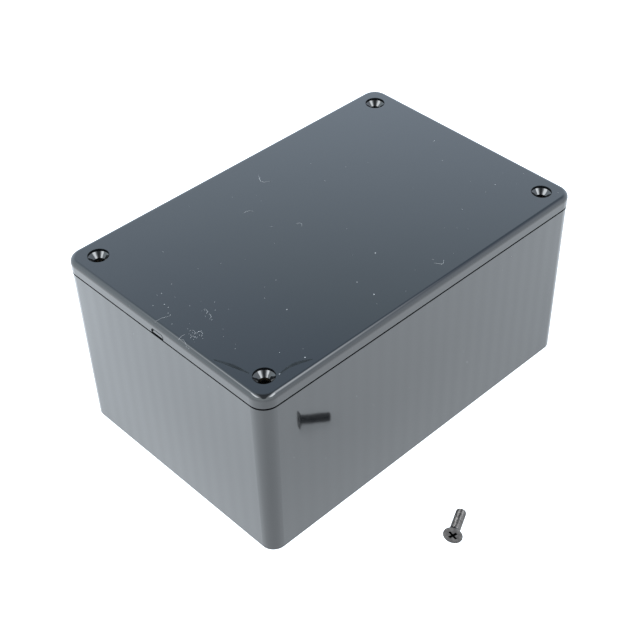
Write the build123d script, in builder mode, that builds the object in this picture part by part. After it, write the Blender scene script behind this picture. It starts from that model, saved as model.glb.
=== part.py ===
from build123d import *
import math
import os

# Moulded plastic enclosure for a circuit board: a deep box with card guides, a flat lid that laps
# over the box's rim, a brass insert in each corner post, and one lid screw lying beside the box.
# Millimetres. The origin is the centre of the box's underside, X along the long side, Z up.

# Outer form
lid_length = 120.0
lid_width = 80.0
lid_corner_radius = 4.8
box_height = 53.6               # underside to the outer shoulder of the rim
lid_overhang = 0.1              # lid beyond the box's rim, on every side
wall_draft = 0.68               # degrees, the walls lean in towards the floor
base_edge_radius = 0.4

# Walls
wall_thickness = 2.2
floor_thickness = 2.4
lid_plate_thickness = 2.4

# Lap joint between the lid's skirt and the tongue on the rim
tongue_thickness = 1.0
lap_clearance = 0.1
reveal_gap = 0.65               # open line between the shoulder and the lid's skirt
lid_edge_height = 3.75          # outer height of the lid
lid_edge_radius = 1.5

# Slot in the lid's short side for levering it off
pry_slot_width = 4.6
pry_slot_height = 1.45
pry_slot_depth = 0.3
pry_slot_corner_radius = 0.6

# Lid screw, a countersunk machine screw with a cross recess
thread_diameter = 3.0
tap_diameter = 2.5
screw_length = 10.0             # over the head
head_diameter = 5.5
head_rim_height = 0.2
tip_chamfer = 0.4
cross_width = 0.75
cross_span = 2.9
cross_depth = 1.5
cross_taper = 12.0              # degrees, the recess narrows towards its bottom

# Screw holes in the lid
screw_inset = 6.85              # hole centre to the lid's edge, both ways
head_side_clearance = 0.2
head_recess_depth = 0.85        # straight part above the cone
shank_clearance = 0.15
pad_depth = 0.8                 # pad under the lid at each hole
pad_radius = 3.8

# Corner posts and their inserts
post_radius = 4.0
insert_diameter = 4.2
insert_length = 5.0
insert_sink = 2.0               # insert's top below the post's top
insert_seat_gap = 0.01
insert_groove_depth = 0.35
insert_groove_height = 1.0
insert_lead_in = 0.3
screw_tip_room = 1.5            # free depth below the screw's tip

# Card guides on the four inner walls
guide_pitch = 5.08
board_slot_width = 1.9
guide_depth = 1.8
guide_side_angle = 12.0         # degrees, the ribs narrow towards the middle of the box
guide_top_drop = 2.0            # rib top below the shoulder

# Place of the loose screw on the floor
loose_screw_x = -22.4           # middle of its head
loose_screw_y = -70.2
loose_screw_heading = 27.6      # degrees from +X to the way its tip points

# Worked-out heights, widths and places
lid_top = box_height + reveal_gap + lid_edge_height
rim_top = lid_top - lid_plate_thickness
post_top = rim_top - pad_depth
insert_top = post_top - insert_sink
rim_length = lid_length - 2 * lid_overhang
rim_width = lid_width - 2 * lid_overhang
rim_corner_radius = lid_corner_radius - lid_overhang
shoulder_width = wall_thickness - tongue_thickness
skirt_thickness = lid_overhang + shoulder_width - lap_clearance
screw_x = lid_length / 2 - screw_inset
screw_y = lid_width / 2 - screw_inset
corners = [(sx * screw_x, sy * screw_y) for sx in (-1, 1) for sy in (-1, 1)]


def rounded_outline(length, width, corner_radius, inset):
    """Draw a rounded rectangle that lies inside the given outline by inset."""
    RectangleRounded(length - 2 * inset, width - 2 * inset, corner_radius - inset)


# Core of the mould: the room inside the box, with the posts and the card guides cut out of it
cavity_length = rim_length - 2 * wall_thickness
cavity_width = rim_width - 2 * wall_thickness
post_reach = screw_inset        # past the wall's inner face, so that the post grows out of the corner
rib_root_width = guide_pitch - board_slot_width
rib_tip_width = rib_root_width - 2 * guide_depth * math.tan(math.radians(guide_side_angle))
rib_height = box_height - guide_top_drop - floor_thickness


def guide_count(screw_spacing):
    """Number of ribs that fit between two posts."""
    return int((screw_spacing - 2 * post_radius - rib_root_width) / guide_pitch) + 1


def rib_rows(count, wall_distance, turn):
    """Draw one row of tapered ribs on each of two facing walls."""
    for side in (-1, 1):
        with Locations(Location((0, 0, 0), (0, 0, turn + (0 if side > 0 else 180)))):
            with Locations((0, wall_distance / 2)):
                with GridLocations(guide_pitch, 0, count, 1):
                    Polygon(
                        (-rib_root_width / 2, wall_thickness / 2),
                        (-rib_root_width / 2, 0),
                        (-rib_tip_width / 2, -guide_depth),
                        (rib_tip_width / 2, -guide_depth),
                        (rib_root_width / 2, 0),
                        (rib_root_width / 2, wall_thickness / 2),
                        align=None,
                    )


with BuildPart() as core:
    with BuildSketch(Plane.XY.offset(rim_top)):
        rounded_outline(rim_length, rim_width, rim_corner_radius, wall_thickness)
    extrude(amount=-(rim_top - floor_thickness), taper=wall_draft)
    with BuildSketch(Plane.XY.offset(floor_thickness)):
        for x, y in corners:
            reach_x = math.copysign(post_reach, x)
            reach_y = math.copysign(post_reach, y)
            side_x = math.copysign(post_radius, x)
            side_y = math.copysign(post_radius, y)
            with Locations((x, y)):
                Circle(post_radius)
                Polygon((-side_x, 0), (reach_x, 0), (reach_x, reach_y), (-side_x, reach_y), align=None)
                Polygon((0, -side_y), (0, reach_y), (reach_x, reach_y), (reach_x, -side_y), align=None)
    extrude(amount=post_top - floor_thickness, mode=Mode.SUBTRACT)
    with BuildSketch(Plane.XY.offset(floor_thickness)):
        rib_rows(guide_count(2 * screw_x), cavity_width, 0)
        rib_rows(guide_count(2 * screw_y), cavity_length, 90)
    extrude(amount=rib_height, mode=Mode.SUBTRACT)

# Box: drafted walls, the tongue on the rim, the posts with their stepped insert bores
insert_bore_radius = insert_diameter / 2 + insert_seat_gap
relief_radius = thread_diameter / 2 + shank_clearance
relief_depth = screw_length - (lid_top - post_top) + screw_tip_room

with BuildPart() as base_box:
    with BuildSketch(Plane.XY.offset(box_height)):
        RectangleRounded(rim_length, rim_width, rim_corner_radius)
    extrude(amount=-box_height, taper=wall_draft)
    fillet(base_box.faces().sort_by(Axis.Z)[0].edges(), base_edge_radius)
    with BuildSketch(Plane.XY.offset(box_height)):
        rounded_outline(rim_length, rim_width, rim_corner_radius, shoulder_width)
    extrude(amount=rim_top - box_height)
    add(core.part, mode=Mode.SUBTRACT)
    with Locations(*[(x, y, post_top) for x, y in corners]):
        CounterBoreHole(relief_radius, insert_bore_radius, insert_sink + insert_length, relief_depth)
base_box.part.label = "base_box"

# Lid: a plate with a rounded top edge, a skirt outside the tongue, a pad under each countersunk hole
head_hole_radius = head_diameter / 2 + head_side_clearance
shank_hole_radius = thread_diameter / 2 + shank_clearance
cone_depth = head_hole_radius - shank_hole_radius
skirt_bottom = box_height + reveal_gap

with BuildPart() as lid:
    with BuildSketch(Plane.XY.offset(skirt_bottom)):
        RectangleRounded(lid_length, lid_width, lid_corner_radius)
    extrude(amount=lid_edge_height)
    fillet(lid.faces().sort_by(Axis.Z)[-1].edges(), lid_edge_radius)
    with BuildSketch(Plane.XY.offset(skirt_bottom)):
        rounded_outline(lid_length, lid_width, lid_corner_radius, skirt_thickness)
    extrude(amount=rim_top - skirt_bottom, mode=Mode.SUBTRACT)
    with BuildSketch(Plane.XY.offset(rim_top)):
        with Locations(*corners):
            Circle(pad_radius)
    extrude(amount=-pad_depth)
    with BuildSketch(Plane.XY.offset(lid_top)):
        with Locations(*corners):
            Circle(shank_hole_radius)
    extrude(amount=-(lid_top - post_top), mode=Mode.SUBTRACT)
    with BuildSketch(Plane.XY.offset(lid_top)):
        with Locations(*corners):
            Circle(head_hole_radius)
    extrude(amount=-head_recess_depth, mode=Mode.SUBTRACT)
    with Locations(*[(x, y, lid_top - head_recess_depth - cone_depth / 2) for x, y in corners]):
        Cone(shank_hole_radius, head_hole_radius, cone_depth, mode=Mode.SUBTRACT)
    with BuildSketch(Plane.YZ.offset(-lid_length / 2)):
        with Locations((0, skirt_bottom)):
            RectangleRounded(pry_slot_width, 2 * pry_slot_height, pry_slot_corner_radius)
    extrude(amount=pry_slot_depth, mode=Mode.SUBTRACT)
lid.part.label = "lid"

# Brass inserts: a sleeve with a groove round its middle that keeps it from pulling out
inserts = []
for x, y in corners:
    with BuildPart() as insert:
        with BuildSketch(Plane.XY.offset(insert_top)):
            with Locations((x, y)):
                Circle(insert_diameter / 2)
        extrude(amount=-insert_length)
        with BuildSketch(Plane.XY.offset(insert_top - (insert_length - insert_groove_height) / 2)):
            with Locations((x, y)):
                Circle(insert_diameter / 2)
                Circle(insert_diameter / 2 - insert_groove_depth, mode=Mode.SUBTRACT)
        extrude(amount=-insert_groove_height, mode=Mode.SUBTRACT)
        with Locations((x, y, insert_top)):
            Hole(tap_diameter / 2, insert_length)
        chamfer(insert.faces().sort_by(Axis.Z)[-1].inner_wires()[0].edges(), insert_lead_in)
    side_name = ("left" if x < 0 else "right") + "_" + ("front" if y < 0 else "back")
    insert.part.label = "threaded_insert_" + side_name
    inserts.append(insert.part)

# Loose lid screw: it lies on the rim of its head and the end of its shank, so its axis leans down
head_radius = head_diameter / 2
shank_radius = thread_diameter / 2
shank_end = screw_length - tip_chamfer
lean = math.atan((head_radius - shank_radius) / (shank_end - head_rim_height))
heading = math.radians(loose_screw_heading)
screw_direction = Vector(
    math.cos(lean) * math.cos(heading),
    math.cos(lean) * math.sin(heading),
    -math.sin(lean),
)
screw_side = Vector(-math.sin(heading), math.cos(heading), 0)
head_centre = Vector(
    loose_screw_x,
    loose_screw_y,
    head_radius * math.cos(lean) + head_rim_height * math.sin(lean),
)
half_section = Plane(origin=head_centre, x_dir=screw_side, z_dir=screw_side.cross(screw_direction))
head_face = Plane(origin=head_centre, x_dir=screw_side, z_dir=screw_direction)
head_bottom = head_rim_height + head_radius - shank_radius

with BuildPart() as lid_screw:
    with BuildSketch(half_section):
        Polygon(
            (0, 0),
            (head_radius, 0),
            (head_radius, head_rim_height),
            (shank_radius, head_bottom),
            (shank_radius, shank_end),
            (shank_radius - tip_chamfer, screw_length),
            (0, screw_length),
            align=None,
        )
    revolve(axis=Axis(head_centre, screw_direction))
    with BuildSketch(head_face):
        for turn in (45, 135):
            Rectangle(cross_span, cross_width, rotation=turn)
    extrude(amount=cross_depth, taper=cross_taper, mode=Mode.SUBTRACT)
lid_screw.part.label = "lid_screw"

os.makedirs("parts", exist_ok=True)
for piece in [base_box.part, lid.part, lid_screw.part] + inserts:
    export_step(piece, f"parts/{piece.label}.step")
    print(piece.label, "volume", round(piece.volume, 2), "valid", piece.is_valid)
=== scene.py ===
"""Look of an electronics enclosure: a moulded box, its lap-jointed lid and one loose lid screw.

Lengths in the classes are millimetres, angles are degrees, and every mesh is written in metres.
"""

import logging
import math
from dataclasses import dataclass, field
from enum import Enum

import bpy
import numpy as np
from mathutils import Matrix, Vector


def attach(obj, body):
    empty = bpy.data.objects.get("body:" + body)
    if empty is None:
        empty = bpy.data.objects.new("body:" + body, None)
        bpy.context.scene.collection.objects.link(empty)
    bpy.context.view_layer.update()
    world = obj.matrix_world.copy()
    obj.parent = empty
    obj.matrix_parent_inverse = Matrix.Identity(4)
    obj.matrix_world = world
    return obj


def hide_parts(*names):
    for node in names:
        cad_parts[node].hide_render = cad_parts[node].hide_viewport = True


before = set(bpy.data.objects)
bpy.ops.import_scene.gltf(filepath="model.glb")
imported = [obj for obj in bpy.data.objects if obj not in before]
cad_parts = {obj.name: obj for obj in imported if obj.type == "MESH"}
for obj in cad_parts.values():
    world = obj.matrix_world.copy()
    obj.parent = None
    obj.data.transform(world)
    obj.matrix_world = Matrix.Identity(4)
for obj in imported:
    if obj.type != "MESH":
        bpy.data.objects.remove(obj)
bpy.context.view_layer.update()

log = logging.getLogger("enclosure")

Colour = tuple[float, float, float]
Point = tuple[float, float, float]
Noise = tuple[float, float, float]  # waves per metre, detail, roughness
Pair = tuple[float, float]
Places = tuple[Pair, ...]
Ring = tuple[np.ndarray, np.ndarray]  # depth and radius at each angle
Surface = tuple[np.ndarray, np.ndarray, np.ndarray]  # points, quads and triangles
Socket = bpy.types.NodeSocket

MM = 0.001
NOISE_SPAN = (0.3, 0.7)  # where most values of a noise lie
INSERT_PREFIX = "threaded_insert"


class Body(Enum):
    """Bodies that a piece can ride on. The enclosure has no joint, so there is one."""

    ROOT = "root"


class Slot(Enum):
    """Material slots of the record that pieces made here take."""

    STEEL = "blackened_steel"


class Node(Enum):
    """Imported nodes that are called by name."""

    BOX = "base_box"
    LID = "lid"
    SCREW = "lid_screw"


def new_piece(name: str, verts: np.ndarray, quads: np.ndarray, triangles: np.ndarray | None = None) -> bpy.types.Object:
    """Put a surface worked out in millimetres into a new mesh object at the origin.

    Args:
        name: name of the piece.
        verts: N x 3 points in millimetres.
        quads: M x 4 point numbers, anticlockwise seen from outside.
        triangles: K x 3 point numbers, or None.

    Returns:
        The linked object, smooth shaded.
    """
    three = np.zeros((0, 3), dtype=np.int32) if triangles is None else triangles
    corners = np.concatenate([quads.ravel(), three.ravel()]).astype(np.int32)
    sizes = np.concatenate([np.full(len(quads), 4), np.full(len(three), 3)])
    starts = np.concatenate([[0], np.cumsum(sizes)[:-1]]).astype(np.int32)
    mesh = bpy.data.meshes.new(name)
    mesh.vertices.add(len(verts))
    mesh.vertices.foreach_set("co", (verts * MM).astype(np.float32).ravel())
    mesh.loops.add(len(corners))
    mesh.loops.foreach_set("vertex_index", corners)
    mesh.polygons.add(len(sizes))
    mesh.polygons.foreach_set("loop_start", starts)
    mesh.polygons.foreach_set("use_smooth", np.ones(len(sizes), dtype=bool))
    mesh.update(calc_edges=True)
    mesh.validate()
    piece = bpy.data.objects.new(name, mesh)
    bpy.context.scene.collection.objects.link(piece)
    return piece


def closed_grid(rows: int, columns: int, flipped: bool = False) -> tuple[np.ndarray, np.ndarray]:
    """Number the faces of a surface made of rings, with a pole to close each end.

    The rings' points come first, ring after ring, then the first pole and the last pole.

    Args:
        rows: number of rings.
        columns: number of points in a ring.
        flipped: whether the faces look the other way.

    Returns:
        Quads and triangles.
    """
    row, column = np.meshgrid(np.arange(rows - 1), np.arange(columns), indexing="ij")
    here, there = row * columns + column, row * columns + (column + 1) % columns
    quads = np.stack([here, there, there + columns, here + columns], axis=-1).reshape(-1, 4)
    ring = np.arange(columns)
    beside = (ring + 1) % columns
    pole, last = rows * columns, (rows - 1) * columns
    triangles = np.concatenate(
        [
            np.stack([np.full(columns, pole), beside, ring], axis=1),
            np.stack([np.full(columns, pole + 1), last + ring, last + beside], axis=1),
        ]
    )
    if flipped:
        return quads[:, [0, 3, 2, 1]], triangles[:, [0, 2, 1]]
    return quads, triangles


def report(piece: bpy.types.Object) -> None:
    """Log a piece's name, triangle count and size."""
    triangles = sum(len(face.vertices) - 2 for face in piece.data.polygons)
    size = " x ".join(f"{length / MM:.1f}" for length in piece.dimensions)
    log.info("%s: %d triangles, %s mm", piece.name, triangles, size)


class NodeSheet:
    """Node tree of one material or world, with short calls for the nodes that the finishes use."""

    def __init__(self, owner: bpy.types.Material | bpy.types.World) -> None:
        """Start from an empty tree.

        Args:
            owner: the material or world whose nodes are laid out.
        """
        owner.use_nodes = True
        self.tree = owner.node_tree
        self.tree.nodes.clear()

    def add(self, kind: str, **settings: object) -> bpy.types.Node:
        """Add a node and set its properties.

        Args:
            kind: name of the node type, without "ShaderNode".
            **settings: properties of the node.

        Returns:
            The new node.
        """
        node = self.tree.nodes.new("ShaderNode" + kind)
        for name, value in settings.items():
            setattr(node, name, value)
        return node

    def feed(self, target: Socket, source: Socket | float | tuple) -> None:
        """Link a socket into another, or write a plain value on it."""
        if isinstance(source, bpy.types.NodeSocket):
            self.tree.links.new(source, target)
        else:
            target.default_value = source

    def calc(self, operation: str, *values: Socket | float) -> Socket:
        """Add a Math node.

        Args:
            operation: the Math node's operation.
            *values: its inputs, sockets or numbers.

        Returns:
            The result socket.
        """
        node = self.add("Math", operation=operation)
        for socket, value in zip(node.inputs, values):
            self.feed(socket, value)
        return node.outputs[0]

    def spread(self, value: Socket, low: float, high: float, to_low: float = 0.0, to_high: float = 1.0) -> Socket:
        """Carry a value from one range to another with soft ends (a smoothstep).

        Args:
            value: the value to carry.
            low: where the range starts.
            high: where it ends.
            to_low: result at the start.
            to_high: result at the end.

        Returns:
            The result socket.
        """
        node = self.add("MapRange", interpolation_type="SMOOTHSTEP")
        for name, part in (
            ("Value", value),
            ("From Min", low),
            ("From Max", high),
            ("To Min", to_low),
            ("To Max", to_high),
        ):
            self.feed(node.inputs[name], part)
        return node.outputs["Result"]

    def noise(self, place: Socket, scale: float, detail: float, roughness: float = 0.5) -> Socket:
        """Add a noise texture read at a place, with its scale in waves per metre."""
        node = self.add("TexNoise")
        self.feed(node.inputs["Vector"], place)
        for name, value in (("Scale", scale), ("Detail", detail), ("Roughness", roughness)):
            node.inputs[name].default_value = value
        return node.outputs["Fac"]

    def bump(self, height: Socket, depth: float) -> Socket:
        """Turn a height into a normal, where one unit of it is the given depth in millimetres."""
        node = self.add("Bump")
        node.inputs["Distance"].default_value = depth * MM
        self.feed(node.inputs["Height"], height)
        return node.outputs["Normal"]

    def tint(self, share: Socket, first: Socket | Colour, second: Socket | Colour) -> Socket:
        """Mix two colours by a share that goes from 0 to 1."""
        node = self.add("Mix", data_type="RGBA")
        self.feed(node.inputs[0], share)
        for socket, colour in ((node.inputs[6], first), (node.inputs[7], second)):
            self.feed(socket, colour if isinstance(colour, bpy.types.NodeSocket) else (*colour, 1.0))
        return node.outputs[2]


def new_finish(name: str) -> tuple[bpy.types.Material, NodeSheet, bpy.types.Node]:
    """Start a material with one shader.

    Args:
        name: name of the material.

    Returns:
        The material, its node tree and its shader.
    """
    material = bpy.data.materials.new(name)
    sheet = NodeSheet(material)
    shader = sheet.add("BsdfPrincipled")
    sheet.feed(sheet.add("OutputMaterial").inputs["Surface"], shader.outputs["BSDF"])
    return material, sheet, shader


@dataclass(frozen=True)
class GlossyPlastic:
    """Black moulded plastic with a polished skin and a little dust.

    Where ribs stand behind a wall, the skin has sunk a little over each of them as it cooled, the
    wall bellies out between its corners, and it leans back a little. A part without ribs has a
    sink_depth of 0 and none of the three.
    """

    name: str = "polished_black_plastic"
    colour: Colour = (0.0032, 0.0036, 0.0042)
    refraction: float = 1.5
    gloss: float = 0.05
    film: Noise = (45.0, 3.0, 0.5)
    film_span: Pair = (0.35, 0.7)
    film_share: Pair = (0.8, 1.3)
    sink_pitch: float = 5.08
    sink_depth: float = 0.0
    belly: float = 0.3
    set_back: float = 0.0072
    wall_span: Point = (110.4, 70.4, 53.6)
    wave_depth: float = 0.006
    wave_length: float = 16.0
    facing_span: Pair = (0.97, 1.0)
    dust_colour: Colour = (0.15, 0.153, 0.158)
    dust_roughness: float = 0.8
    dust_cells: tuple[float, ...] = (2.4, 4.3)
    dust_draw: Pair = (0.55, 1.0)
    dust_radius: float = 0.07
    dust_edge: float = 0.02

    def build(self) -> bpy.types.Material:
        """Lay out the plastic's nodes.

        Returns:
            The material.
        """
        material, sheet, skin = new_finish(self.name)
        skin.inputs["IOR"].default_value = self.refraction
        coordinates = sheet.add("TexCoord")
        place = coordinates.outputs["Object"]
        dust = self.dust(sheet, place)
        sheet.feed(skin.inputs["Base Color"], sheet.tint(dust, self.colour, self.dust_colour))
        film = sheet.noise(place, *self.film)
        film = sheet.spread(film, *self.film_span, *(self.gloss * share for share in self.film_share))
        powder = sheet.calc("MULTIPLY", dust, self.dust_roughness)
        sheet.feed(skin.inputs["Roughness"], sheet.calc("MAXIMUM", film, powder))
        height = self.unevenness(sheet, place, coordinates.outputs["Normal"])
        sheet.feed(skin.inputs["Normal"], sheet.bump(height, 1.0))
        return material

    def dust(self, sheet: NodeSheet, place: Socket) -> Socket:
        """Scatter fine specks: in each cell of a Voronoi texture, a dot whose size is the cell's draw.

        Args:
            sheet: the node tree.
            place: place on the surface.

        Returns:
            Share of the surface that dust covers, 0 or 1 with soft edges.
        """
        total: Socket | float = 0.0
        for size in self.dust_cells:
            cells = sheet.add("TexVoronoi")
            sheet.feed(cells.inputs["Vector"], place)
            cells.inputs["Scale"].default_value = 1.0 / (size * MM)
            draw = sheet.add("SeparateColor")
            sheet.feed(draw.inputs[0], cells.outputs["Color"])
            reach = sheet.spread(draw.outputs[0], *self.dust_draw, 0.0, self.dust_radius / size)
            edge = sheet.calc("SUBTRACT", reach, cells.outputs["Distance"])
            dot = sheet.spread(edge, 0.0, self.dust_edge / size)
            total = sheet.calc("MAXIMUM", dot, total)
        return total

    def unevenness(self, sheet: NodeSheet, place: Socket, facing: Socket) -> Socket:
        """Work out the skin's height in millimetres.

        It is a slow noise, less a small share of the place's height above the table on a part with
        ribs. Where the surface faces sideways, a cosine of the distance along the wall at the ribs'
        pitch is taken off it, and half a wave over the wall's length times half a wave over its
        height is added.

        Args:
            sheet: the node tree.
            place: place on the surface.
            facing: direction that the surface faces.

        Returns:
            The height.
        """
        wave = sheet.noise(place, 1.0 / (self.wave_length * MM), 1.0)
        height = sheet.calc("MULTIPLY", wave, self.wave_depth * 2)
        if self.sink_depth:
            along, normal = sheet.add("SeparateXYZ"), sheet.add("SeparateXYZ")
            sheet.feed(along.inputs[0], place)
            sheet.feed(normal.inputs[0], facing)
            turn = 2 * math.pi / (self.sink_pitch * MM)
            half_waves = [math.pi / (span * MM) for span in self.wall_span]
            rise = sheet.calc("SINE", sheet.calc("MULTIPLY", along.outputs[2], half_waves[2]))
            height = sheet.calc("MULTIPLY_ADD", along.outputs[2], -self.set_back / MM, height)
            for axis, side in ((0, normal.outputs[1]), (1, normal.outputs[0])):
                distance = along.outputs[axis]
                ripple = sheet.calc("COSINE", sheet.calc("MULTIPLY", distance, turn))
                sunk = sheet.calc("MULTIPLY", ripple, -self.sink_depth)
                bow = sheet.calc("COSINE", sheet.calc("MULTIPLY", distance, half_waves[axis]))
                bow = sheet.calc("MULTIPLY", sheet.calc("MAXIMUM", bow, 0.0), rise)
                level = sheet.calc("MULTIPLY_ADD", bow, self.belly, sunk)
                faces = sheet.spread(sheet.calc("ABSOLUTE", side), *self.facing_span)
                height = sheet.calc("MULTIPLY_ADD", faces, level, height)
        return height


@dataclass(frozen=True)
class DarkSteel:
    """Blackened steel, a little brighter in random blotches, with a fine grain in its roughness and its surface."""

    name: str = "blackened_steel"
    dark: Colour = (0.050, 0.046, 0.0445)
    bright: Colour = (0.088, 0.082, 0.078)
    blotch: Noise = (900.0, 4.0, 0.6)
    grain: Noise = (5200.0, 3.0, 0.7)
    grain_depth: float = 0.004
    roughness: Pair = (0.22, 0.33)

    def build(self) -> bpy.types.Material:
        """Lay out the steel's nodes.

        Returns:
            The material.
        """
        material, sheet, metal = new_finish(self.name)
        metal.inputs["Metallic"].default_value = 1.0
        place = sheet.add("TexCoord").outputs["Object"]
        blotch = sheet.spread(sheet.noise(place, *self.blotch), *NOISE_SPAN)
        sheet.feed(metal.inputs["Base Color"], sheet.tint(blotch, self.dark, self.bright))
        grain = sheet.noise(place, *self.grain)
        sheet.feed(metal.inputs["Roughness"], sheet.spread(grain, *NOISE_SPAN, *self.roughness))
        sheet.feed(metal.inputs["Normal"], sheet.bump(grain, self.grain_depth))
        return material


@dataclass(frozen=True)
class TurnedBrass:
    """Dull brass with fine rings left by turning, darkened as painted shade for the hole that it sits in."""

    name: str = "turned_brass"
    # painted shade: both colours are darkened far below brass's own, for the shade down in the insert's hole
    light: Colour = (0.22, 0.155, 0.07)
    dull: Colour = (0.12, 0.084, 0.04)
    blotch: Noise = (700.0, 3.0, 0.6)
    roughness: float = 0.42
    ring_pitch: float = 0.12
    ring_depth: float = 0.006

    def build(self) -> bpy.types.Material:
        """Lay out the brass's nodes.

        Returns:
            The material.
        """
        material, sheet, metal = new_finish(self.name)
        metal.inputs["Metallic"].default_value = 1.0
        metal.inputs["Roughness"].default_value = self.roughness
        place = sheet.add("TexCoord").outputs["Object"]
        blotch = sheet.spread(sheet.noise(place, *self.blotch), *NOISE_SPAN)
        sheet.feed(metal.inputs["Base Color"], sheet.tint(blotch, self.dull, self.light))
        height = sheet.add("SeparateXYZ")
        sheet.feed(height.inputs[0], place)
        turn = 2 * math.pi / (self.ring_pitch * MM)
        rings = sheet.calc("SINE", sheet.calc("MULTIPLY", height.outputs[2], turn))
        sheet.feed(metal.inputs["Normal"], sheet.bump(rings, self.ring_depth))
        return material


@dataclass(frozen=True)
class DullFinish:
    """A dull, cloudy surface that scatters light and hardly reflects."""

    name: str
    dark: Colour
    pale: Colour
    cloud: Noise
    roughness: float
    specular: float

    def build(self) -> bpy.types.Material:
        """Lay out the finish's nodes.

        Returns:
            The material.
        """
        material, sheet, skin = new_finish(self.name)
        place = sheet.add("TexCoord").outputs["Object"]
        cloud = sheet.spread(sheet.noise(place, *self.cloud), *NOISE_SPAN)
        sheet.feed(skin.inputs["Base Color"], sheet.tint(cloud, self.dark, self.pale))
        skin.inputs["Roughness"].default_value = self.roughness
        skin.inputs["Specular IOR Level"].default_value = self.specular
        return material


PALE_DUST = DullFinish(
    name="pale_dust",
    dark=(0.10, 0.102, 0.106),
    pale=(0.25, 0.253, 0.26),
    cloud=(260.0, 3.0, 0.6),
    roughness=0.9,
    specular=0.1,
)
# painted shade and painted reflection: a near-black finish that hardly reflects, for the dark streaks by a hole and the
# shadow line round the slot
PAINTED_DARK_FINISH = DullFinish(
    name="painted_dark_plastic",
    dark=(0.007, 0.0085, 0.0095),
    pale=(0.012, 0.014, 0.0155),
    cloud=(400.0, 3.0, 0.6),
    roughness=0.6,
    specular=0.05,
)


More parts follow.
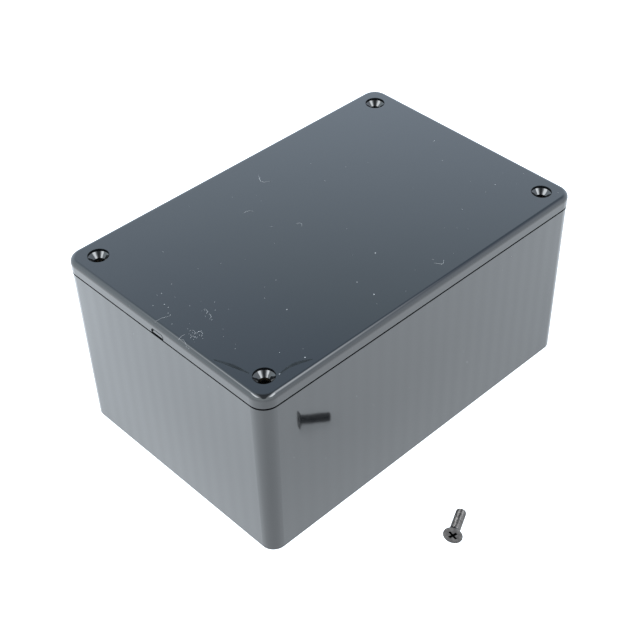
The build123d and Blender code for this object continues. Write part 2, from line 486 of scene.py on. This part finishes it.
@dataclass(frozen=True)
class LidScrew:
    """Countersunk machine screw with a cut thread and a cross recess, lying on the table.

    The surface is a grid of rings about the screw's axis. It starts in the middle of the recess,
    climbs its walls, runs out over the face to the rim and then down the cone and the shank to
    the tip. Places on it are given by the distance s from the head's face towards the tip. Shares
    are how far along the recess, the face or the cone a ring lies. The cross's edge is broken by
    a bevel, given by its width and its depth.
    """

    middle: Pair = (-22.4, -70.2)
    heading: float = 27.6
    length: float = 10.0
    head_radius: float = 2.75
    rim_height: float = 0.2
    shank_radius: float = 1.5
    tip_chamfer: float = 0.4
    pitch: float = 0.5
    thread_depth: float = 0.17
    cross_angle: float = 45.0
    cross_half_width: float = 0.375
    cross_half_span: float = 1.45
    cross_depth: float = 1.5
    cross_taper: float = 12.0
    cross_bevel: Pair = (0.03, 0.04)
    cross_dip: float = 0.08
    face_edge_radius: float = 0.05
    recess_shares: tuple[float, ...] = (1.0, 0.97, 0.7, 0.35, 0.06)
    face_shares: tuple[float, ...] = (0.04, 0.2, 0.45, 0.7, 0.9, 0.975)
    face_edge_angles: tuple[float, ...] = (0.0, 30.0, 60.0, 90.0)
    cone_shares: tuple[float, ...] = (0.03, 0.2, 0.5, 0.8, 0.97)
    crest_share: float = 0.25
    flank_share: float = 0.6
    run_out: Pair = (0.15, 0.6)
    columns: int = 192
    thread_rows: int = 210

    def build(self, material: bpy.types.Material) -> bpy.types.Object:
        """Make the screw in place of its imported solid.

        Args:
            material: finish of the screw.

        Returns:
            The screw's object.
        """
        around = np.linspace(0.0, 2 * np.pi, self.columns, endpoint=False)
        rings = self.recess_rings(around) + self.head_rings(around) + self.shank_rings(around)
        depth = np.array([np.broadcast_to(s, around.shape) for s, _ in rings])
        radius = np.array([np.broadcast_to(r, around.shape) for _, r in rings])
        verts = self.placed(depth, radius, around[None, :])
        poles = np.array([[self.cross_depth + self.cross_dip], [self.length]])
        ends = self.placed(poles, np.zeros((2, 1)), np.zeros((1, 1)))
        points = np.concatenate([verts.reshape(-1, 3), ends.reshape(-1, 3)])
        piece = new_piece("machine_screw", points, *closed_grid(*depth.shape))
        piece.data.materials.append(material)
        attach(piece, Body.ROOT.value)
        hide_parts(Node.SCREW.value)
        report(piece)
        return piece

    def star(self, around: np.ndarray, half_width: float, half_span: float) -> np.ndarray:
        """Work out the radius of the cross's outline.

        On a ray at angle a from the nearest arm it is the smaller of half_span / cos(a) and
        half_width / sin(a).

        Args:
            around: angles about the axis, in radians.
            half_width: half the width of an arm.
            half_span: half the length over two arms.

        Returns:
            The radius at each angle.
        """
        quarter = np.pi / 2
        off = np.abs((around - math.radians(self.cross_angle) + quarter / 2) % quarter - quarter / 2)
        return np.minimum(half_span / np.cos(off), half_width / np.maximum(np.sin(off), 1e-6))

    def recess_rings(self, around: np.ndarray) -> list[Ring]:
        """Lay out the rings of the cross recess, from its bottom to the face."""
        width, depth = self.cross_bevel
        rings = []
        for sunk in (self.cross_depth * share for share in self.recess_shares):
            shrink = sunk * math.tan(math.radians(self.cross_taper))
            outline = self.star(around, self.cross_half_width - shrink, self.cross_half_span - shrink)
            rings.append((np.full_like(around, sunk), outline))
        rings.append((np.full_like(around, depth), self.star(around, self.cross_half_width, self.cross_half_span)))
        outline = self.star(around, self.cross_half_width + width, self.cross_half_span + width)
        rings.append((np.zeros_like(around), outline))
        return rings

    def head_rings(self, around: np.ndarray) -> list[Ring]:
        """Lay out the rings of the face, the rim and the cone under the head."""
        width, edge = self.cross_bevel[0], self.face_edge_radius
        star = self.star(around, self.cross_half_width + width, self.cross_half_span + width)
        rings = []
        for share in self.face_shares:
            rings.append((np.zeros_like(around), star + (self.head_radius - star) * share))
        for angle in np.radians(self.face_edge_angles):
            rings.append((edge * (1 - math.cos(angle)), self.head_radius - edge * (1 - math.sin(angle))))
        rings.append((self.rim_height, self.head_radius))
        drop = self.head_radius - self.shank_radius
        for share in self.cone_shares:
            rings.append((self.rim_height + drop * share, self.head_radius - drop * share))
        return rings

    def shank_rings(self, around: np.ndarray) -> list[Ring]:
        """Lay out the rings of the threaded shank and its chamfered tip.

        The thread is a right-handed helix: its phase is s / pitch less the share of a turn, and
        the groove deepens from the crest by a clipped ramp on each flank.
        """
        top = self.rim_height + self.head_radius - self.shank_radius
        wait, ramp = self.run_out
        rings = []
        for s in np.linspace(top, self.length, self.thread_rows):
            phase = (s / self.pitch - around / (2 * np.pi)) % 1.0
            crest = np.clip((np.abs(phase - 0.5) * 2 - self.crest_share) / self.flank_share, 0.0, 1.0)
            groove = self.thread_depth * (1 - crest) * np.clip((s - top - wait) / ramp, 0.0, 1.0)
            chamfer = self.shank_radius - max(0.0, s - (self.length - self.tip_chamfer))
            rings.append((np.full_like(around, s), np.minimum(self.shank_radius - groove, chamfer)))
        return rings

    def placed(self, depth: np.ndarray, radius: np.ndarray, around: np.ndarray) -> np.ndarray:
        """Carry ring coordinates into the scene, where the screw leans on its rim and its shank's end.

        Args:
            depth: distance from the head's face along the axis.
            radius: distance from the axis.
            around: angle about the axis, from the level side.

        Returns:
            Points in millimetres.
        """
        reach = self.length - self.tip_chamfer - self.rim_height
        lean = math.atan((self.head_radius - self.shank_radius) / reach)
        turn = math.radians(self.heading)
        side = np.array([-math.sin(turn), math.cos(turn), 0.0])
        axis = np.array([math.cos(lean) * math.cos(turn), math.cos(lean) * math.sin(turn), -math.sin(lean)])
        rise = np.cross(axis, side)
        lift = self.head_radius * math.cos(lean) + self.rim_height * math.sin(lean)
        centre = np.array([*self.middle, lift])
        flat = np.cos(around)[..., None] * side + np.sin(around)[..., None] * rise
        return centre + depth[..., None] * axis + radius[..., None] * flat


@dataclass(frozen=True)
class SurfaceMarks:
    """Small marks on the enclosure: settled specks and lint, and painted light: dark streaks by a hole
    that paint a reflection, and a dark line round the slot that paints its shadow.

    Places on the lid are x and y, places on the walls are the distance along the wall and z.
    speck_radii are those of the five groups of specks in turn, and the draws are ranges of random
    factors on a speck. A dome is given by the reach and height of its rings and the heights of its
    poles, as shares of its radius. The slot is given by half its width, its foot, its top and the
    size of its cut corners. A section is a line's half width, half height and the share of its
    length over which each end thickens.
    """

    lid_height: float = 58.0
    edge_radius: float = 1.5
    lid_half: Pair = (60.0, 40.0)
    wall_half: Pair = (59.9, 39.9)
    wall_height: float = 53.6
    wall_lean: float = 0.68
    bright: Places = (
        (-12.2, -24.2), (-12.6, -30.8), (-0.1, -19.1), (46.5, -21.6), (50.6, 5.9), (-53.4, 4.8), (-53.4, 3.2),
        (-41.7, -35.5), (-50.1, -35.4), (-33.6, -11.7), (-32.6, -19.1), (31.0, -22.7), (41.9, -22.0), (56.1, -36.8),
        (56.3, -24.1), (-54.9, 1.4),
    )
    faint: Places = (
        (-39.9, 22.0), (-46.9, 9.8), (-38.0, 9.7), (-32.2, 7.2), (-26.5, 3.9), (-52.4, 9.1), (-10.5, 27.4),
        (-5.9, 20.4), (-16.3, 3.4), (16.6, 23.6), (22.6, 15.1), (13.4, 14.4), (2.0, -6.0), (-14.8, -34.0),
        (-26.6, -8.4), (-30.6, -8.4), (2.2, -31.6), (-5.8, -35.8), (44.8, -2.7), (42.6, -15.6), (21.3, -24.9),
        (23.6, -27.2), (25.4, -29.8), (14.6, -34.1), (-39.9, -32.9), (-44.9, -29.7), (-51.7, -20.9), (-51.2, 8.7),
        (-49.7, 5.0), (-55.8, 6.5), (-59.6, 11.5), (-49.2, -0.4), (-45.7, -6.3), (-43.7, -3.7), (-43.0, -8.4),
        (-49.0, -13.2), (-50.8, -15.4), (-56.8, -2.5),
    )
    tuft: Places = (
        (-54.9, -7.6), (-54.9, -8.9), (-53.9, -9.6), (-53.7, -10.3), (-56.2, -8.4), (-56.2, -9.2), (-56.2, -10.5),
        (-55.5, -10.9), (-54.9, -12.3), (-57.3, -11.7), (-54.7, -10.8), (-55.2, -6.8), (-53.7, -5.6), (-54.9, -9.9),
        (-55.3, -8.8), (-56.7, -10.9), (-47.7, -4.4), (-48.0, -5.5), (-47.9, -7.0), (-48.8, -7.8), (-48.3, -4.0),
        (-49.0, -6.3), (-48.7, -8.4),
    )
    long_wall: Places = (
        (-28.1, 38.0), (-50.5, 31.8), (-7.7, 26.7), (14.8, 25.4), (16.9, 19.9), (-39.4, 22.9), (29.4, 46.9),
        (32.9, 49.7),
    )
    short_wall: Places = ((11.1, 47.9), (-19.4, 49.5))
    fibres: tuple[Places, ...] = (
        ((-59.50, 1.15), (-58.61, 1.21), (-56.97, 0.91), (-55.76, 0.40), (-54.68, 0.52)),
        ((-57.10, -7.91), (-58.17, -7.95), (-59.32, -8.17)),
        ((-59.32, -8.17), (-58.64, -9.06), (-59.04, -10.56), (-59.50, -11.65), (-59.50, -12.64)),
        ((2.01, 30.38), (0.40, 27.09), (2.63, 25.32)),
        ((-13.27, 19.50), (-11.94, 19.53), (-10.56, 18.14)),
        ((-12.07, 9.64), (-11.64, 9.21)),
        ((-6.15, 5.65), (-5.20, 4.68), (-5.96, 3.59)),
        ((8.54, -31.72), (9.01, -32.20)),
        ((7.86, -33.03), (9.16, -35.06), (10.79, -34.05)),
        ((-55.58, -7.80), (-54.65, -8.09), (-54.82, -9.31), (-55.80, -9.71)),
        ((-54.66, -9.58), (-53.54, -9.65), (-53.74, -10.83), (-54.84, -11.43)),
        ((-56.90, -9.77), (-55.97, -10.06), (-55.82, -11.28)),
        ((-47.62, -3.97), (-47.13, -4.34), (-47.40, -5.29), (-48.17, -5.73)),
        ((-47.79, -6.22), (-47.80, -7.10), (-48.63, -7.91)),
    )
    # painted reflection: dark streaks on the lid by a hole, where the glossy top reflects something dark
    dark_reflection_streaks: tuple[Places, ...] = (
        ((-50.06, -35.41), (-47.11, -35.18), (-44.51, -35.63), (-42.30, -36.50), (-40.83, -37.27)),
        ((-58.06, -20.09), (-56.77, -23.28), (-55.84, -26.66), (-55.17, -29.94)),
    )
    speck_radii: tuple[float, ...] = (0.15, 0.09, 0.075, 0.09, 0.13)
    size_draw: Pair = (0.75, 1.3)
    turn_draw: Pair = (0.0, 6.0)
    stretch_draw: Pair = (0.6, 1.5)
    ragged_draw: Pair = (0.8, 1.2)
    dome_rings: tuple[Pair, Pair] = ((1.0, -0.1), (0.75, 0.4))
    dome_poles: Pair = (-0.15, 0.55)
    fibre_section: Point = (0.03, 0.03, 0.1)
    fibre_lift: float = 0.027
    mark_section: Point = (0.5, 0.015, 0.45)
    # painted shadow: section of the dark line round the pry slot
    shadow_line_section: Point = (0.1, 0.06, 0.02)
    end_share: float = 0.3
    curve_steps: int = 8
    slot_steps: int = 4
    sides: int = 8
    slot: tuple[float, float, float, float] = (2.3, 54.3, 55.7, 0.5)
    seed: int = 7

    def build(self, dust: bpy.types.Material, dull: bpy.types.Material) -> None:
        """Make the specks, the lint, the painted dark streaks and the painted shadow line.

        Args:
            dust: finish of the specks and the lint.
            dull: finish of the dark streaks and the shadow line, both painted dark.
        """
        up, left = (0.0, 0.0, 1.0), (-1.0, 0.0, 0.0)
        # painted shadow: a dark line along the pry slot's outline, where its edge casts shade
        half, foot, top, cut = self.slot
        corners = [(half, foot), (half, top - cut), (half - cut, top)]
        corners += [(-y, z) for y, z in reversed(corners)]
        shadow_line = np.array([(-self.lid_half[0], y, z) for y, z in corners])
        sides = [np.linspace(a, b, self.slot_steps, endpoint=False) for a, b in zip(shadow_line, shadow_line[1:])]
        shadow_line = np.concatenate([*sides, shadow_line[-1:]])
        lint = [self.on_lid(self.curve(fibre)) + [0.0, 0.0, self.fibre_lift] for fibre in self.fibres]
        # painted reflection: the dark streaks follow the lid's top
        marks = [self.on_lid(self.curve(mark)) for mark in self.dark_reflection_streaks]
        for name, shape, material in (
            ("dust_specks", self.specks(), dust),
            ("lint", self.strands(lint, up, self.fibre_section), dust),
            ("dark_reflection_streaks", self.strands(marks, up, self.mark_section), dull),
            ("slot_shadow_line", self.strands([shadow_line], left, self.shadow_line_section), dull),
        ):
            piece = new_piece(name, *shape)
            piece.data.materials.append(material)
            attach(piece, Body.ROOT.value)
            report(piece)

    def on_lid(self, points: np.ndarray) -> np.ndarray:
        """Lift points seen from above on to the lid, whose top rounds down by a quarter circle at its edge."""
        inside = np.minimum(self.lid_half[0] - np.abs(points[:, 0]), self.lid_half[1] - np.abs(points[:, 1]))
        short = np.clip(self.edge_radius - inside, 0.0, self.edge_radius)
        drop = self.edge_radius - np.sqrt(self.edge_radius**2 - short**2)
        return np.column_stack([points, self.lid_height - drop])

    def specks(self) -> Surface:
        """Lay out every speck as a low closed dome of its own size, stretch and turn.

        Returns:
            Points, quads and triangles.
        """
        draws = np.random.default_rng(self.seed)
        groups = [np.array(group) for group in (self.bright, self.faint, self.tuft, self.long_wall, self.short_wall)]
        long_wall, short_wall = groups[3:]
        slope = math.tan(math.radians(self.wall_lean))
        on_long = np.column_stack(
            [long_wall[:, 0], -self.wall_half[1] + slope * (self.wall_height - long_wall[:, 1]), long_wall[:, 1]]
        )
        on_short = np.column_stack(
            [-self.wall_half[0] + slope * (self.wall_height - short_wall[:, 1]), short_wall[:, 0], short_wall[:, 1]]
        )
        lid_points = np.concatenate(groups[:3])
        centres = np.concatenate([self.on_lid(lid_points), on_long, on_short])
        sizes = np.repeat(self.speck_radii, [len(group) for group in groups])
        radii = sizes * draws.uniform(*self.size_draw, len(centres))
        counts = (len(lid_points), len(on_long), len(on_short))
        out = np.repeat([[0, 0, 1], [0, -1, 0], [-1, 0, 0]], counts, axis=0).astype(float)
        first = np.repeat([[1, 0, 0], [1, 0, 0], [0, -1, 0]], counts, axis=0).astype(float)
        second = np.cross(out, first)
        turn = np.linspace(0, 2 * np.pi, self.sides, endpoint=False)[None, :]
        turn = turn + draws.uniform(*self.turn_draw, len(centres))[:, None]
        stretch = draws.uniform(*self.stretch_draw, len(centres))
        shells = []
        for reach, height in self.dome_rings:
            ragged = reach * radii[:, None] * draws.uniform(*self.ragged_draw, turn.shape)
            flat = (ragged * np.cos(turn) * stretch[:, None])[..., None] * first[:, None, :]
            flat = flat + (ragged * np.sin(turn))[..., None] * second[:, None, :]
            shells.append(centres[:, None, :] + flat + (radii * height)[:, None, None] * out[:, None, :])
        poles = [
            centres[:, None, :] + (radii * height)[:, None, None] * out[:, None, :] for height in self.dome_poles
        ]
        verts = np.concatenate([*shells, *poles], axis=1)
        quads, triangles = closed_grid(len(shells), self.sides)
        shift = (np.arange(len(centres)) * verts.shape[1])[:, None, None]
        return verts.reshape(-1, 3), (quads + shift).reshape(-1, 4), (triangles + shift).reshape(-1, 3)

    def curve(self, marks: Places) -> np.ndarray:
        """Run a smooth line through places on the lid."""
        places = np.array(marks)
        share = np.linspace(0, len(places) - 1, (len(places) - 1) * self.curve_steps + 1)
        return np.column_stack([self.smooth(share, places[:, axis]) for axis in (0, 1)])

    def strands(self, spines: list[np.ndarray], outward: Point, section: Point) -> Surface:
        """Lay out every line as a closed tube that is thin at both ends.

        Args:
            spines: the points of each line.
            outward: direction that the surface under the lines faces.
            section: half width along the surface, half height off it, and share of the length
                over which each end thickens.

        Returns:
            Points, quads and triangles.
        """
        half_width, half_height, taper = section
        ring = np.linspace(0, 2 * np.pi, self.sides, endpoint=False)[None, :, None]
        all_verts, all_quads, all_triangles, used = [], [], [], 0
        for spine in spines:
            along = np.gradient(spine, axis=0)
            along /= np.linalg.norm(along, axis=1, keepdims=True)
            side = np.cross(along, outward)
            side /= np.linalg.norm(side, axis=1, keepdims=True)
            up = np.cross(side, along)
            thick = (self.end_share, 1, 1, self.end_share)
            thin = np.interp(np.linspace(0, 1, len(spine)), (0, taper, 1 - taper, 1), thick)[:, None, None]
            round_it = np.cos(ring) * half_width * side[:, None, :] + np.sin(ring) * half_height * up[:, None, :]
            tube = spine[:, None, :] + thin * round_it
            quads, triangles = closed_grid(len(spine), self.sides, flipped=True)
            all_verts.append(np.concatenate([tube.reshape(-1, 3), spine[[0, -1]]]))
            all_quads.append(quads + used)
            all_triangles.append(triangles + used)
            used += len(all_verts[-1])
        return np.concatenate(all_verts), np.concatenate(all_quads), np.concatenate(all_triangles)

    @staticmethod
    def smooth(share: np.ndarray, marks: np.ndarray) -> np.ndarray:
        """Read a Catmull-Rom curve through the marks at the given shares, counted in marks."""
        padded = np.concatenate([[2 * marks[0] - marks[1]], marks, [2 * marks[-1] - marks[-2]]])
        piece = np.minimum(share.astype(int), len(marks) - 2)
        t = share - piece
        a, b, c, d = (padded[piece + k] for k in range(4))
        return 0.5 * (2 * b + (c - a) * t + (2 * a - 5 * b + 4 * c - d) * t**2 + (3 * b - a - 3 * c + d) * t**3)


@dataclass(frozen=True)
class Viewpoint:
    """Level camera above the front corner of the box, with the photograph's sideways framing."""

    place: Point = (-204.039, -216.868, 285.146)
    azimuth: float = -45.328
    elevation: float = 41.483
    lens: float = 75.914
    shift: float = -0.0707
    sensor: float = 36.0
    clip: Pair = (0.01, 50.0)

    def build(self) -> bpy.types.Object:
        """Make the camera and set it as the scene's.

        The camera looks back along the line given by azimuth and elevation.

        Returns:
            The camera object.
        """
        turn, rise = math.radians(self.azimuth), math.radians(self.elevation)
        back = Vector((math.sin(turn) * math.cos(rise), -math.cos(turn) * math.cos(rise), math.sin(rise)))
        right = (-back).cross(Vector((0, 0, 1))).normalized()
        up = back.cross(right)
        data = bpy.data.cameras.new("viewpoint")
        data.sensor_width = self.sensor
        data.lens = self.lens
        data.shift_x = self.shift
        data.clip_start, data.clip_end = self.clip
        camera = bpy.data.objects.new("viewpoint", data)
        matrix = Matrix((right, up, back)).transposed().to_4x4()
        matrix.translation = Vector(self.place) * MM
        camera.matrix_world = matrix
        bpy.context.scene.collection.objects.link(camera)
        bpy.context.scene.camera = camera
        return camera


@dataclass(frozen=True)
class Sky:
    """Radiance of the room round the table, as colours and as shares of direction.

    Near the horizon it is level, plus to_right and away times the direction's parts. Overhead it
    is ceiling, plus ceiling_x and ceiling_y times the direction's x and y, kept between
    ceiling_least and ceiling_most. blend is the height over which one turns into the other. The
    gap over the camera's line leaves gap_share of it, and its edges are places on the same plane
    as the lamps'.
    """

    level: Colour = (2.58, 2.92, 3.22)
    to_right: Colour = (-0.29, -0.37, -0.36)
    away: Colour = (-0.77, -0.75, -0.62)
    ceiling: Colour = (2.82, 3.18, 3.50)
    ceiling_x: Colour = (-3.11, -3.39, -3.42)
    ceiling_y: Colour = (-1.57, -1.58, -1.62)
    ceiling_most: Colour = (3.2, 3.4, 3.6)
    ceiling_least: Colour = (0.43, 0.66, 0.80)
    blend: Pair = (0.51, 0.80)
    gap_share: float = 0.12
    gap_side: Pair = (0.42, 0.18)
    gap_far: Pair = (0.8, 0.2)
    gap_near: Pair = (-2.6, -1.5)
    lowest: float = 0.02


@dataclass(frozen=True)
class Lamps:
    """Two soft lamps over the table, left and right of the camera, with a dark gap between them.

    Places are on a plane one unit above the object: across is to either side of the camera's line
    and ahead is the way the camera looks. An edge has a start and an end. Where these, or the
    inner edge's slant, are pairs themselves, they are for the right lamp and for the left, which
    meet over halves. The inner edge is measured across, the back edge along lean (its parts are
    across and ahead), the front edge along ahead, and low by the direction's height.
    """

    glow: Colour = (14.0, 14.8, 15.5)
    inner: tuple[Pair, Pair] = ((0.30, 0.45), (0.60, 0.72))
    inner_slant: Pair = (0.12, -0.10)
    outer: tuple[Pair, Pair] = ((1.15, 1.06), (1.0, 0.88))
    back: tuple[Pair, Pair] = ((0.77, 0.93), (0.35, 0.51))
    lean: Pair = (0.730, 0.683)
    front: Pair = (-1.0, -0.8)
    low: Pair = (0.3, 0.5)
    halves: Pair = (0.05, -0.05)


@dataclass
class Studio:
    """White table, soft surrounding light and the lamps.

    The camera looks along facing, an angle from +X. The table's glow is painted light. It goes from the first of
    floor_glow to the second over floor_fade, measured as x - y, which paints the table brighter towards -X and +Y,
    and is scaled by shade, a painted shadow of the box, which goes from its first value at the box, of half sizes
    shade_half, to its second at shade_reach.
    """

    facing: float = 46.9
    sky: Sky = field(default_factory=Sky)
    lamps: Lamps = field(default_factory=Lamps)
    floor_half: float = 6000.0
    floor_drop: float = 0.02
    floor_tint: Colour = (0.93, 1.0, 1.065)
    floor_glow: Pair = (1.84, 1.51)
    floor_fade: Pair = (-60.0, 60.0)
    floor_colour: Colour = (0.2, 0.2, 0.2)
    floor_roughness: float = 0.9
    shade_half: Pair = (60.0, 40.0)
    shade_reach: float = 60.0
    shade: Pair = (1.0, 1.25)

    def build(self) -> None:
        """Make the floor and the surrounding light."""
        self.build_floor()
        self.build_world()
        bpy.context.scene.view_settings.view_transform = "Standard"

    def build_floor(self) -> bpy.types.Object:
        """Make the white table, which takes the lamps' light and also glows with painted light, dimmer near the box.

        Returns:
            The floor object.
        """
        half, low = self.floor_half, -self.floor_drop
        verts = np.array([[-half, -half, low], [half, -half, low], [half, half, low], [-half, half, low]])
        floor = new_piece("table", verts, np.array([[0, 1, 2, 3]]))
        material, sheet, top = new_finish("lit_white_table")
        for name, value in (
            ("Base Color", (*self.floor_colour, 1.0)),
            ("Roughness", self.floor_roughness),
            ("Specular IOR Level", 0.0),
            ("Emission Color", (*self.floor_tint, 1.0)),
        ):
            top.inputs[name].default_value = value
        place = sheet.add("SeparateXYZ")
        sheet.feed(place.inputs[0], sheet.add("TexCoord").outputs["Object"])
        across = sheet.calc("SUBTRACT", place.outputs[0], place.outputs[1])
        first, last = (edge * MM for edge in self.floor_fade)
        # painted light: the glow is brighter towards -X and +Y, as if the table were lit from there
        glow = sheet.spread(across, first, last, *self.floor_glow)
        # painted shadow of the box: the glow is dimmed close to the box
        beyond = [
            sheet.calc("SUBTRACT", sheet.calc("ABSOLUTE", distance), half_size * MM)
            for distance, half_size in zip(place.outputs, self.shade_half)
        ]
        shade = sheet.spread(sheet.calc("MAXIMUM", *beyond), 0.0, self.shade_reach * MM, *self.shade)
        sheet.feed(top.inputs["Emission Strength"], sheet.calc("MULTIPLY", glow, shade))
        floor.data.materials.append(material)
        return floor

    def build_world(self) -> bpy.types.World:
        """Light the scene from all round.

        Near the horizon the room is an even pale wall. Higher up it turns, by a smoothstep of the
        direction's height, into a ceiling that is darker on the far side, with a dark gap over the
        camera's line and a soft lamp on each side of it. A lamp is the product of smoothsteps of
        the direction's place on the plane one unit above the object.

        Returns:
            The world.
        """
        world = bpy.data.worlds.new("soft_room")
        sheet = NodeSheet(world)
        look = sheet.add("TexCoord").outputs["Generated"]
        parts = sheet.add("SeparateXYZ")
        sheet.feed(parts.inputs[0], look)
        x, y, z = parts.outputs
        turn = math.radians(self.facing)
        away = self.blend_along(sheet, x, y, math.cos(turn), math.sin(turn))
        right = self.blend_along(sheet, x, y, math.sin(turn), -math.cos(turn))

        low = self.colour_sum(sheet, self.sky.level, (right, self.sky.to_right), (away, self.sky.away))
        high = self.colour_sum(sheet, self.sky.ceiling, (x, self.sky.ceiling_x), (y, self.sky.ceiling_y))
        for kind, limit in (("MINIMUM", self.sky.ceiling_most), ("MAXIMUM", self.sky.ceiling_least)):
            bound = sheet.add("VectorMath", operation=kind)
            sheet.feed(bound.inputs[0], high)
            bound.inputs[1].default_value = limit
            high = bound.outputs[0]
        room = sheet.tint(sheet.spread(z, *self.sky.blend), low, high)

        height = sheet.calc("MAXIMUM", z, self.sky.lowest)
        ahead = sheet.calc("DIVIDE", away, height)
        sideways = sheet.calc("DIVIDE", right, height)
        across = sheet.calc("ABSOLUTE", sideways)
        gap = sheet.spread(across, *self.sky.gap_side)
        for edge in (self.sky.gap_far, self.sky.gap_near):
            gap = sheet.calc("MULTIPLY", gap, sheet.spread(ahead, *edge))
        room = sheet.tint(gap, room, self.scaled(sheet, room, self.sky.gap_share))

        lamps = self.lamps
        left = sheet.spread(sideways, *lamps.halves)
        slant = sheet.calc("MULTIPLY_ADD", ahead, self.either(sheet, left, lamps.inner_slant), across)
        lean = self.blend_along(sheet, across, ahead, *lamps.lean)
        lamp: Socket | float = 1.0
        for distance, edge in ((slant, lamps.inner), (across, lamps.outer), (lean, lamps.back)):
            limits = [self.either(sheet, left, pair) for pair in edge]
            lamp = sheet.calc("MULTIPLY", sheet.spread(distance, *limits), lamp)
        for distance, edge in ((ahead, lamps.front), (z, lamps.low)):
            lamp = sheet.calc("MULTIPLY", lamp, sheet.spread(distance, *edge))
        sky = sheet.add("Background")
        sheet.feed(sky.inputs["Color"], sheet.tint(lamp, room, lamps.glow))
        sky.inputs["Strength"].default_value = 1.0
        sheet.feed(sheet.add("OutputWorld").inputs["Surface"], sky.outputs[0])
        bpy.context.scene.world = world
        return world

    @staticmethod
    def blend_along(sheet: NodeSheet, first: Socket, second: Socket, a: float, b: float) -> Socket:
        """Work out a times the first value plus b times the second."""
        return sheet.calc("MULTIPLY_ADD", first, a, sheet.calc("MULTIPLY", second, b))

    @staticmethod
    def either(sheet: NodeSheet, left: Socket, values: Pair) -> Socket:
        """Take the first value on the right and the second on the left, where left is 1."""
        return sheet.calc("MULTIPLY_ADD", left, values[1] - values[0], values[0])

    @staticmethod
    def scaled(sheet: NodeSheet, colour: Socket, share: float) -> Socket:
        """Scale a colour by a plain number."""
        node = sheet.add("VectorMath", operation="SCALE")
        sheet.feed(node.inputs[0], colour)
        node.inputs["Scale"].default_value = share
        return node.outputs[0]

    @staticmethod
    def colour_sum(sheet: NodeSheet, base: Colour, *terms: tuple[Socket, Colour]) -> Socket:
        """Add to a base colour each term's value times its colour.

        Args:
            sheet: the node tree.
            base: the colour that the sum starts from.
            *terms: pairs of a value and the colour that it scales.

        Returns:
            The summed colour.
        """
        total: Socket | Colour = base
        for value, colour in terms:
            node = sheet.add("VectorMath", operation="MULTIPLY_ADD")
            sheet.feed(node.inputs[0], value)
            node.inputs[1].default_value = colour
            sheet.feed(node.inputs[2], total)
            total = node.outputs[0]
        return total


@dataclass
class Enclosure:
    """The moulded box, its lid and inserts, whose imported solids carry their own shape."""

    box_plastic: GlossyPlastic = field(
        default_factory=lambda: GlossyPlastic(name="polished_black_plastic_ribbed", sink_depth=0.006)
    )
    lid_plastic: GlossyPlastic = field(default_factory=GlossyPlastic)
    brass: TurnedBrass = field(default_factory=TurnedBrass)

    def dress(self) -> None:
        """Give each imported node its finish."""
        finishes = {Node.BOX.value: self.box_plastic.build(), Node.LID.value: self.lid_plastic.build()}
        brass = self.brass.build()
        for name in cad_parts:
            if name.startswith(INSERT_PREFIX):
                finishes[name] = brass
        for name, material in finishes.items():
            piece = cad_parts[name]
            for slot in piece.material_slots:
                slot.material = material
            report(piece)


def main() -> None:
    """Build the camera, the studio and the object's pieces in turn."""
    logging.basicConfig(level=logging.INFO, format="%(name)s %(message)s")
    Viewpoint().build()
    Studio().build()
    Enclosure().dress()
    LidScrew().build(DarkSteel().build())
    SurfaceMarks().build(PALE_DUST.build(), PAINTED_DARK_FINISH.build())


if __name__ == "__main__":
    main()
